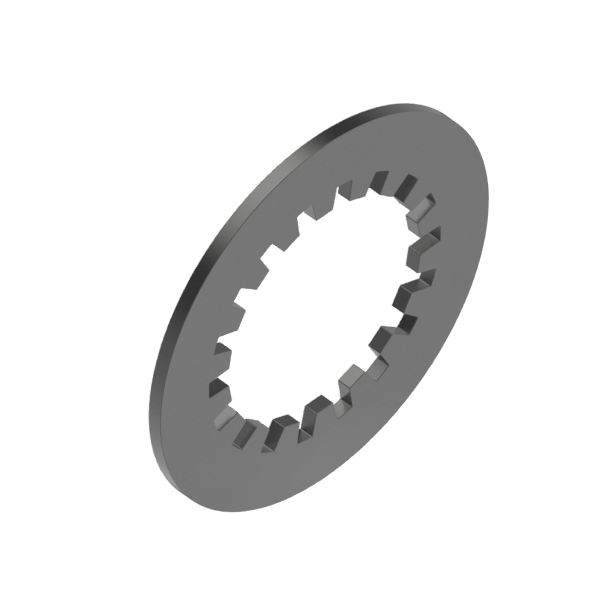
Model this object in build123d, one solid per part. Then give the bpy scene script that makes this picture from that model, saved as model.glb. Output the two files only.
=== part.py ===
from build123d import *
import math
import os

# Thrust washer with a toothed hole, one flat ring of steel that is blanked,
# ground on both faces and tumbled. The origin is at the centre of the bottom
# face, +Z is the washer's axis, and one tooth lies along +Y.

# Driving dimensions, in millimetres and degrees
outer_diameter = 55.0
thickness = 2.0
tooth_count = 18
tip_diameter = 31.9         # across the flat tips of two opposite teeth
root_diameter = 38.7        # across the bottoms of the spaces between the teeth
tooth_tip_width = 2.83
flank_angle = 12.0          # lean of each flank away from its tooth's centre line
root_corner_radius = 0.15   # left in the corners of each space by the punch
edge_break = 0.1            # how far each outward edge is broken back on both sides
first_tooth_angle = 90.0    # direction of the first tooth, turned from +X

# Sizes that follow
outer_radius = outer_diameter / 2
tip_distance = tip_diameter / 2
root_radius = root_diameter / 2


def tooth_outline():
    """One tooth, lying along +X with its tip towards the axis.

    The tip is flat and square to the tooth's centre line, and the flanks are
    straight. They run on to the middle of the ring's wall, so that the tooth
    is rooted in the ring.
    """
    base_distance = (root_radius + outer_radius) / 2
    tip_half_width = tooth_tip_width / 2
    spread = (base_distance - tip_distance) * math.tan(math.radians(flank_angle))
    base_half_width = tip_half_width + spread
    return Polygon(
        (tip_distance, -tip_half_width),
        (base_distance, -base_half_width),
        (base_distance, base_half_width),
        (tip_distance, tip_half_width),
    )


def washer_outline():
    """Plane outline: a plain ring, with the teeth standing in from its bore.

    Between two teeth the bore's own arc is left as the bottom of the space. The
    bore's circle starts under the first tooth, so no space is cut in two by it.
    """
    bore = Rot(Z=first_tooth_angle) * Circle(root_radius)
    teeth = PolarLocations(0, tooth_count, first_tooth_angle) * tooth_outline()
    return Circle(outer_radius) - bore + teeth


def corner_edges(solid):
    """Edges that run through the thickness, in groups from the innermost outwards.

    The first group is the corners of the tips, the second those of the spaces.
    """
    return solid.edges().filter_by(Axis.Z).group_by(SortBy.DISTANCE, tol_digits=3)


def blanked_washer():
    """The washer as it leaves the press, with the punch's rounds in its spaces."""
    sharp = extrude(washer_outline(), thickness)
    return fillet(corner_edges(sharp)[1], root_corner_radius)


def finished_washer():
    """The washer with its edges broken, at the tips' corners and round both faces."""
    blank = blanked_washer()
    tip_corners = corner_edges(blank)[0]
    face_outlines = blank.faces().filter_by(Axis.Z).edges()
    return chamfer(tip_corners + face_outlines, edge_break)


os.makedirs("parts", exist_ok=True)
export_step(finished_washer(), "parts/thrust_washer.step")
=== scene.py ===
import bmesh
import bpy
import math
from mathutils import Matrix, Vector


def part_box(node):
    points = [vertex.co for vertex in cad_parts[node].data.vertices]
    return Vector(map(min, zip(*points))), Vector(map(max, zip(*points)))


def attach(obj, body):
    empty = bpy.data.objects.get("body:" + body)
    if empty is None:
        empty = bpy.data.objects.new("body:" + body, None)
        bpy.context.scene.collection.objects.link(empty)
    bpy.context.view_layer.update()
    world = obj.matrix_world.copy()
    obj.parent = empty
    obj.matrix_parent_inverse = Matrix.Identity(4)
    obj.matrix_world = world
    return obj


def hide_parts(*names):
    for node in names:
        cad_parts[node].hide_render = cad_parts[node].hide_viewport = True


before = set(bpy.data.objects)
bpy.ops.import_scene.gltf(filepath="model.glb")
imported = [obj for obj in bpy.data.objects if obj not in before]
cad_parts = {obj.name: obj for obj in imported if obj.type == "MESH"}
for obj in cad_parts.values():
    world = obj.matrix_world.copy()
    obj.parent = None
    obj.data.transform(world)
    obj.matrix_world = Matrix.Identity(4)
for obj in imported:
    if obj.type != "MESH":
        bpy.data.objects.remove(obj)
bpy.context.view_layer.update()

# Thrust washer
# One ring of hardened steel, blanked from 2 mm sheet, ground flat on both
# faces and tumbled, which leaves a dark satin skin with softly broken edges.

mm = 0.001
washer_low, washer_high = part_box("thrust_washer")
outer_radius = washer_high.x
thickness = washer_high.z - washer_low.z
tooth_count = 18
tip_distance = 15.95 * mm
root_radius = 19.35 * mm
tooth_half_width = 1.415 * mm
flank_lean = math.radians(12)
tip_corner_radius = 0.14 * mm
root_corner_radius = 0.15 * mm
edge_radius = 0.09 * mm
rim_steps = 360
corner_steps = 5
edge_steps = 5
root_steps = 6


def toward(angle):
    """The plane direction at an angle from +X."""
    return Vector((math.cos(angle), math.sin(angle)))


def steps(start, end, count):
    """Angles from start to end, both included, in count equal steps."""
    return [start + (end - start) * i / count for i in range(count + 1)]


def half_tooth():
    """Half the outline of a tooth that lies along +X, as points with outward normals.

    It runs from the flat tip round the tip's corner, up the leaning flank and
    round the root's corner, to where the bottom of the space begins.
    """
    off_flank = toward(math.pi / 2 + flank_lean)
    tip_corner = Vector((
        tip_distance + tip_corner_radius,
        tooth_half_width - tip_corner_radius * (1 - math.sin(flank_lean)) / math.cos(flank_lean),
    ))
    points = [
        (tip_corner + toward(angle) * tip_corner_radius, toward(angle))
        for angle in steps(math.pi, math.pi / 2 + flank_lean, corner_steps)
    ]
    # The root corner's centre lies beside the flank and just inside the root
    # circle, so its place along the flank comes from the distance to the axis.
    beside = Vector((tip_distance, tooth_half_width)) + off_flank * root_corner_radius
    reach = beside.dot(toward(flank_lean))
    centre_distance = root_radius - root_corner_radius
    along = math.sqrt(reach ** 2 - beside.length_squared + centre_distance ** 2) - reach
    root_corner = beside + toward(flank_lean) * along
    root_angle = math.atan2(root_corner.y, root_corner.x)
    points += [
        (root_corner + toward(angle) * root_corner_radius, -toward(angle))
        for angle in steps(flank_lean - math.pi / 2, root_angle, corner_steps)
    ]
    return points, root_angle


def turned(points, angle):
    """The same points and normals, turned about the washer's axis."""
    turn = Matrix.Rotation(angle, 2)
    return [(turn @ place, turn @ normal) for place, normal in points]


def toothed_outline():
    """The whole outline of the hole: every tooth, and the arc between it and the next."""
    upper_half, root_angle = half_tooth()
    mirror = Matrix(((1, 0), (0, -1)))
    lower_half = [(mirror @ place, mirror @ normal) for place, normal in reversed(upper_half)]
    tooth_pitch = 2 * math.pi / tooth_count
    space = [
        (toward(angle) * root_radius, -toward(angle))
        for angle in steps(root_angle, tooth_pitch - root_angle, root_steps)[1:-1]
    ]
    outline = []
    for tooth in range(tooth_count):
        outline += turned(lower_half + upper_half + space, math.pi / 2 + tooth * tooth_pitch)
    return outline


def washer_mesh():
    """The ring's skin: the walls of the hole and the rim, with rounded edges, and both faces."""
    rim_outline = [
        (toward(angle) * outer_radius, toward(angle))
        for angle in steps(0, 2 * math.pi, rim_steps)[:-1]
    ]
    bottom_round = [(edge_radius, angle) for angle in steps(-math.pi / 2, 0, edge_steps)]
    top_round = [(thickness - edge_radius, angle) for angle in steps(0, math.pi / 2, edge_steps)]
    skin = bmesh.new()
    normals = []
    face_edges = {0: [], -1: []}
    for outline in (toothed_outline(), rim_outline):
        rings = []
        for level, angle in bottom_round + top_round:
            inset = edge_radius * (1 - math.cos(angle))
            rings.append([
                skin.verts.new((*(place - normal * inset), level + edge_radius * math.sin(angle)))
                for place, normal in outline
            ])
            normals += [(*(normal * math.cos(angle)), math.sin(angle)) for place, normal in outline]
        for lower, upper in zip(rings, rings[1:]):
            for i in range(len(outline)):
                skin.faces.new((lower[i - 1], lower[i], upper[i], upper[i - 1]))
        for side, edges in face_edges.items():
            edges += [
                skin.edges.get((rings[side][i - 1], rings[side][i]))
                for i in range(len(outline))
            ]
    for edges in face_edges.values():
        bmesh.ops.triangle_fill(skin, edges=edges, use_beauty=True)
    bmesh.ops.recalc_face_normals(skin, faces=skin.faces)
    mesh = bpy.data.meshes.new("thrust_washer_skin")
    skin.to_mesh(mesh)
    skin.free()
    mesh.shade_smooth()
    mesh.normals_split_custom_set_from_vertices(normals)
    return mesh


washer = bpy.data.objects.new("washer", washer_mesh())
bpy.context.scene.collection.objects.link(washer)
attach(washer, "root")
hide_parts("thrust_washer")


def linear_colour(hex_colour):
    """An sRGB hex colour as linear red, green, blue and alpha."""
    channels = [int(hex_colour[i:i + 2], 16) / 255 for i in (1, 3, 5)]
    return [c / 12.92 if c <= 0.04045 else ((c + 0.055) / 1.055) ** 2.4 for c in channels] + [1.0]


def add_node(tree, kind, settings=None, **inputs):
    """Adds a node, sets its own settings, and fills its inputs with values or links.

    An input is named by its label, with _ for a space, or by its place, as in0, in1.
    """
    node = tree.nodes.new(kind)
    for name, value in (settings or {}).items():
        setattr(node, name, value)
    for name, value in inputs.items():
        key = int(name[2:]) if name[2:].isdigit() else name.replace("_", " ")
        socket = node.inputs[key]
        if isinstance(value, bpy.types.NodeSocket):
            tree.links.new(value, socket)
        else:
            socket.default_value = value
    return node


# Ground steel after tumbling: the light skin is the tops that the stones have
# rubbed, and the dark skin is what lies a little deeper and holds some oil.
light_skin = linear_colour("#e5e5e5")
dark_skin = linear_colour("#c5c5c5")
steel_roughness = 0.2

steel = bpy.data.materials.new("satin_ground_steel")
steel.use_nodes = True
tree = steel.node_tree
tree.nodes.clear()
place = add_node(tree, "ShaderNodeTexCoord")

# Tumbling leaves a fine even peening, about 0.25 mm from dent to dent.
peening_size = 0.25 * mm
peening = add_node(
    tree, "ShaderNodeTexNoise", Vector=place.outputs["Object"],
    Scale=1 / peening_size, Detail=2.0, Roughness=0.55,
)
# The oil film and the heat of hardening leave faint clouds, about 9 mm across.
cloud_size = 9 * mm
clouds = add_node(
    tree, "ShaderNodeTexNoise", Vector=place.outputs["Object"],
    Scale=1 / cloud_size, Detail=2.0, Roughness=0.5,
)
# Grinding and shearing both leave lines. The grit's are 0.05 mm apart, and
# are drawn 0.2 mm apart to show at all. On the walls the punch's lines run
# through the thickness, so the pattern is stretched along Z there.
line_pitch = 0.2 * mm
lay_length = 6 * mm
lay_turn = math.radians(20)
lay_place = add_node(
    tree, "ShaderNodeMapping", Vector=place.outputs["Object"],
    Rotation=(0, 0, lay_turn), Scale=(1 / lay_length, 1 / line_pitch, 1 / lay_length),
)
lay = add_node(
    tree, "ShaderNodeTexNoise", Vector=lay_place.outputs["Vector"], Scale=1.0, Detail=3.0,
)
shear_place = add_node(
    tree, "ShaderNodeMapping", Vector=place.outputs["Object"],
    Scale=(1 / line_pitch, 1 / line_pitch, 1 / lay_length),
)
shear = add_node(
    tree, "ShaderNodeTexNoise", Vector=shear_place.outputs["Vector"], Scale=1.0, Detail=3.0,
)
level_enough = 0.9
facing = add_node(tree, "ShaderNodeSeparateXYZ", Vector=place.outputs["Normal"])
upright = add_node(tree, "ShaderNodeMath", {"operation": "ABSOLUTE"}, in0=facing.outputs["Z"])
on_face = add_node(
    tree, "ShaderNodeMath", {"operation": "GREATER_THAN"}, in0=upright.outputs[0], in1=level_enough,
)
lines = add_node(
    tree, "ShaderNodeMix", Factor=on_face.outputs[0], A=shear.outputs["Fac"], B=lay.outputs["Fac"],
)
line_share = 0.3
fine = add_node(
    tree, "ShaderNodeMix", Factor=line_share, A=peening.outputs["Fac"], B=lines.outputs[0],
)
cloud_share = 0.25
tone = add_node(
    tree, "ShaderNodeMix", Factor=cloud_share, A=fine.outputs[0], B=clouds.outputs["Fac"],
)
skin = add_node(
    tree, "ShaderNodeMix", {"data_type": "RGBA"}, Factor=tone.outputs[0],
    in6=dark_skin, in7=light_skin,
)
roughness_spread = 0.04
gloss = add_node(
    tree, "ShaderNodeMapRange", Value=fine.outputs[0], From_Min=0.2, From_Max=0.8,
    To_Min=steel_roughness - roughness_spread, To_Max=steel_roughness + roughness_spread,
)
relief_height = 0.0005 * mm
relief = add_node(
    tree, "ShaderNodeBump", Height=fine.outputs[0], Distance=relief_height, Strength=1.0,
)
shader = add_node(
    tree, "ShaderNodeBsdfPrincipled", Metallic=1.0,
    Base_Color=skin.outputs[2], Roughness=gloss.outputs["Result"], Normal=relief.outputs["Normal"],
)
add_node(tree, "ShaderNodeOutputMaterial", Surface=shader.outputs["BSDF"])
washer.data.materials.append(steel)

# Floor
# The white board that the washer lies flat on. The steel doesn't mirror it
# and stands in the studio's light alone, as it does in a lifted product shot.

floor_mesh = bpy.data.meshes.new("floor")
floor_half = 2.0
corners = [(x * floor_half, y * floor_half, 0) for x, y in ((-1, -1), (1, -1), (1, 1), (-1, 1))]
floor_mesh.from_pydata(corners, [], [(0, 1, 2, 3)])
floor = bpy.data.objects.new("floor", floor_mesh)
bpy.context.scene.collection.objects.link(floor)
board = bpy.data.materials.new("white_board")
board.use_nodes = True
paint = board.node_tree.nodes["Principled BSDF"]
paint.inputs["Base Color"].default_value = linear_colour("#f6f6f6")
paint.inputs["Roughness"].default_value = 0.8
floor_mesh.materials.append(board)
floor.visible_glossy = False
floor.visible_shadow = False

# Backdrop
# A white tent round the board, lit evenly by its own glow, which the steel
# doesn't mirror and which throws no light or shade on it.

tent_mesh = bpy.data.meshes.new("tent")
tent_radius = 3.0
tent_skin = bmesh.new()
bmesh.ops.create_uvsphere(tent_skin, u_segments=48, v_segments=24, radius=tent_radius)
tent_skin.to_mesh(tent_mesh)
tent_skin.free()
tent = bpy.data.objects.new("tent", tent_mesh)
bpy.context.scene.collection.objects.link(tent)
glowing_cloth = bpy.data.materials.new("glowing_white_cloth")
glowing_cloth.use_nodes = True
cloth = glowing_cloth.node_tree
cloth.nodes.clear()
cloth_glow = add_node(cloth, "ShaderNodeEmission", Color=linear_colour("#ffffff"), Strength=1.0)
add_node(cloth, "ShaderNodeOutputMaterial", Surface=cloth_glow.outputs["Emission"])
tent_mesh.materials.append(glowing_cloth)
tent.visible_diffuse = False
tent.visible_glossy = False
tent.visible_shadow = False

# Camera
# It looks down at the ring as the photo does, from a little over 30 degrees,
# and is turned on its own axis, so that the ring leans to the right.

photo_side_px = 600
washer_centre_px = (324.9, 312.07)
outer_radius_px = 230.65
camera_azimuth = math.radians(-54.02)
camera_elevation = math.radians(30.85)
camera_roll = math.radians(125.19)
camera_distance = 0.3

metres_per_px = outer_radius / outer_radius_px
back = Vector((
    math.cos(camera_elevation) * math.cos(camera_azimuth),
    math.cos(camera_elevation) * math.sin(camera_azimuth),
    math.sin(camera_elevation),
))
level_right = Vector((0, 0, 1)).cross(back).normalized()
level_up = back.cross(level_right)
right = level_right * math.cos(camera_roll) + level_up * math.sin(camera_roll)
up = back.cross(right)
face_centre = Vector((0, 0, washer_high.z))
view_centre = (
    face_centre
    - right * (washer_centre_px[0] - photo_side_px / 2) * metres_per_px
    + up * (washer_centre_px[1] - photo_side_px / 2) * metres_per_px
)
camera_data = bpy.data.cameras.new("camera")
camera_data.type = "ORTHO"
camera_data.ortho_scale = photo_side_px * metres_per_px
camera = bpy.data.objects.new("camera", camera_data)
camera.matrix_world = (
    Matrix.Translation(view_centre + back * camera_distance)
    @ Matrix((right, up, back)).transposed().to_4x4()
)
bpy.context.scene.collection.objects.link(camera)
bpy.context.scene.camera = camera

# Studio light
# A dim room with a soft box on one side and a wide pale wall with a black flag
# before it on the other, all standing up from the ground. The pale ceiling is
# brightest past the side that the ground face mirrors, and dark in its middle.

room_glow = 0.042
soft_boxes = (
    # compass direction, half width and soft edge in degrees, brightness, colour
    # The soft box, and what its hotter end adds
    (-85.7, 32.0, 16.0, 0.26, "#fffffb"),
    (-98.0, 20.5, 15.0, 0.104, "#fffffb"),
    # The pale wall, and what its brighter middle and the strip beside the flag add
    (97.5, 102.5, 19.5, 0.075, "#ffffff"),
    (107.5, 50.0, 50.0, 0.262, "#ffffff"),
    (102.5, 11.0, 8.0, 0.06, "#ffffff"),
)
flag = (125.5, 12.0, 5.0)
flag_glow = 0.03
ceiling_start, ceiling_full = -10.5, 5.0
ceiling_dim, ceiling_bright = 0.14, 0.281
ceiling_window = (168.0, 75.0, 50.0)
ceiling_middle_start, ceiling_middle_full = 38.0, 70.0
ceiling_middle = 0.038

world = bpy.data.worlds.new("studio")
bpy.context.scene.world = world
world.use_nodes = True
sky = world.node_tree
sky.nodes.clear()
outlook = add_node(sky, "ShaderNodeTexCoord")
ray = add_node(sky, "ShaderNodeSeparateXYZ", Vector=outlook.outputs["Generated"])
compass = add_node(
    sky, "ShaderNodeMath", {"operation": "ARCTAN2"}, in0=ray.outputs["Y"], in1=ray.outputs["X"],
)
height = add_node(sky, "ShaderNodeMath", {"operation": "ARCSINE"}, in0=ray.outputs["Z"])


def light_share(direction, half_width, soft_edge):
    """How far, from 0 to 1, a light that stands in a compass direction fills each ray's view."""
    turn = add_node(
        sky, "ShaderNodeMath", {"operation": "SUBTRACT"},
        in0=compass.outputs[0], in1=math.radians(direction),
    )
    wrapped = add_node(
        sky, "ShaderNodeMath", {"operation": "WRAP"}, in0=turn.outputs[0], in1=math.pi, in2=-math.pi,
    )
    aside = add_node(sky, "ShaderNodeMath", {"operation": "ABSOLUTE"}, in0=wrapped.outputs[0])
    share = add_node(
        sky, "ShaderNodeMapRange", {"interpolation_type": "SMOOTHSTEP"}, Value=aside.outputs[0],
        From_Min=math.radians(half_width + soft_edge),
        From_Max=math.radians(half_width - soft_edge),
    )
    return share.outputs["Result"]


def topped(lower_light, upper_light, start, full):
    """The lower light up to a start height in degrees, and the upper one from the full height on."""
    share = add_node(
        sky, "ShaderNodeMapRange", {"interpolation_type": "SMOOTHSTEP"}, Value=height.outputs[0],
        From_Min=math.radians(start), From_Max=math.radians(full),
    )
    both = add_node(
        sky, "ShaderNodeMix", {"data_type": "VECTOR"}, Factor=share.outputs["Result"],
        in4=lower_light, in5=upper_light,
    )
    return both.outputs[1]


room = add_node(sky, "ShaderNodeCombineXYZ", X=room_glow, Y=room_glow, Z=room_glow)
room_light = room.outputs["Vector"]
for direction, half_width, soft_edge, brightness, hex_colour in soft_boxes:
    box_light = add_node(
        sky, "ShaderNodeVectorMath", {"operation": "SCALE"},
        in0=Vector(linear_colour(hex_colour)[:3]) * brightness,
        Scale=light_share(direction, half_width, soft_edge),
    )
    total = add_node(
        sky, "ShaderNodeVectorMath", {"operation": "ADD"}, in0=room_light, in1=box_light.outputs[0],
    )
    room_light = total.outputs[0]
flagged = add_node(
    sky, "ShaderNodeMix", {"data_type": "VECTOR"}, Factor=light_share(*flag),
    in4=room_light, in5=(flag_glow,) * 3,
)
ceiling = add_node(
    sky, "ShaderNodeMix", {"data_type": "VECTOR"}, Factor=light_share(*ceiling_window),
    in4=(ceiling_dim,) * 3, in5=(ceiling_bright,) * 3,
)
studio = topped(flagged.outputs[1], ceiling.outputs[1], ceiling_start, ceiling_full)
studio = topped(studio, (ceiling_middle,) * 3, ceiling_middle_start, ceiling_middle_full)
glow = add_node(sky, "ShaderNodeBackground", Color=studio)
add_node(sky, "ShaderNodeOutputWorld", Surface=glow.outputs["Background"])

# A small lamp stands over the floor where the ground face mirrors it just past
# its lower right edge, so that the face lightens a little towards that edge.
mirrored_spot = Vector((-6.5 * mm, 38.5 * mm, washer_high.z))
lamp_distance = 130 * mm
lamp_data = bpy.data.lights.new("edge_lamp", "AREA")
lamp_data.shape = "DISK"
lamp_data.size = 20 * mm
lamp_data.energy = 0.0000805
lamp = bpy.data.objects.new("edge_lamp", lamp_data)
mirrored_view = Vector((-back.x, -back.y, back.z))
lamp.matrix_world = (
    Matrix.Translation(mirrored_spot + mirrored_view * lamp_distance)
    @ mirrored_view.to_track_quat("Z", "Y").to_matrix().to_4x4()
)
lamp.visible_camera = False
bpy.context.scene.collection.objects.link(lamp)

# A sun lights the board to white, and the steel doesn't mirror it.
floor_light_data = bpy.data.lights.new("floor_light", "SUN")
floor_light_data.energy = 3.4
floor_light_data.angle = math.radians(4)
floor_light = bpy.data.objects.new("floor_light", floor_light_data)
floor_light.visible_glossy = False
bpy.context.scene.collection.objects.link(floor_light)
bpy.context.scene.view_settings.view_transform = "Standard"
